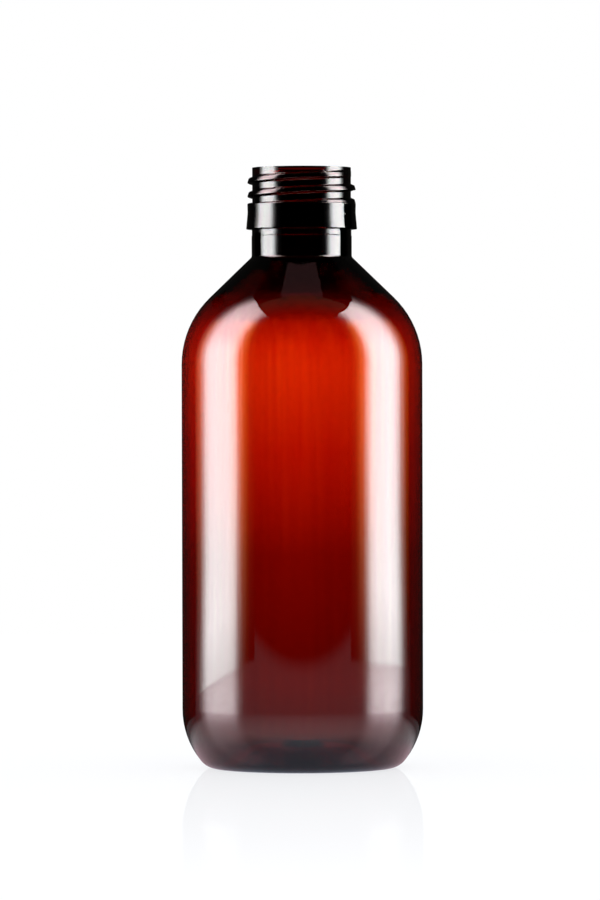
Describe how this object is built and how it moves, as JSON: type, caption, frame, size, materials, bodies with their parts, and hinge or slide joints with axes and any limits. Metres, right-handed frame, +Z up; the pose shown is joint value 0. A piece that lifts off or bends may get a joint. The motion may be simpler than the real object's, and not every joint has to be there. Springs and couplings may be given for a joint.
{
  "type": "round amber medicine bottle",
  "caption": "Empty round amber PET medicine bottle with a screw neck, locking ring, cone shoulder, straight body and pushed-up ribbed base.",
  "frame": {"origin": "middle of the standing face, on the bottle's axis", "axes": "+Z up the bottle's axis through the mouth; +X to the right of the view in the picture, with the start of the thread at +X"},
  "size_m": [0.061, 0.061, 0.152],
  "materials": {
    "amber_pet": "clear amber PET, high gloss, thin blown wall"
  },
  "bodies": {
    "root": {"bottle": "amber_pet"}
  },
  "joints": []
}
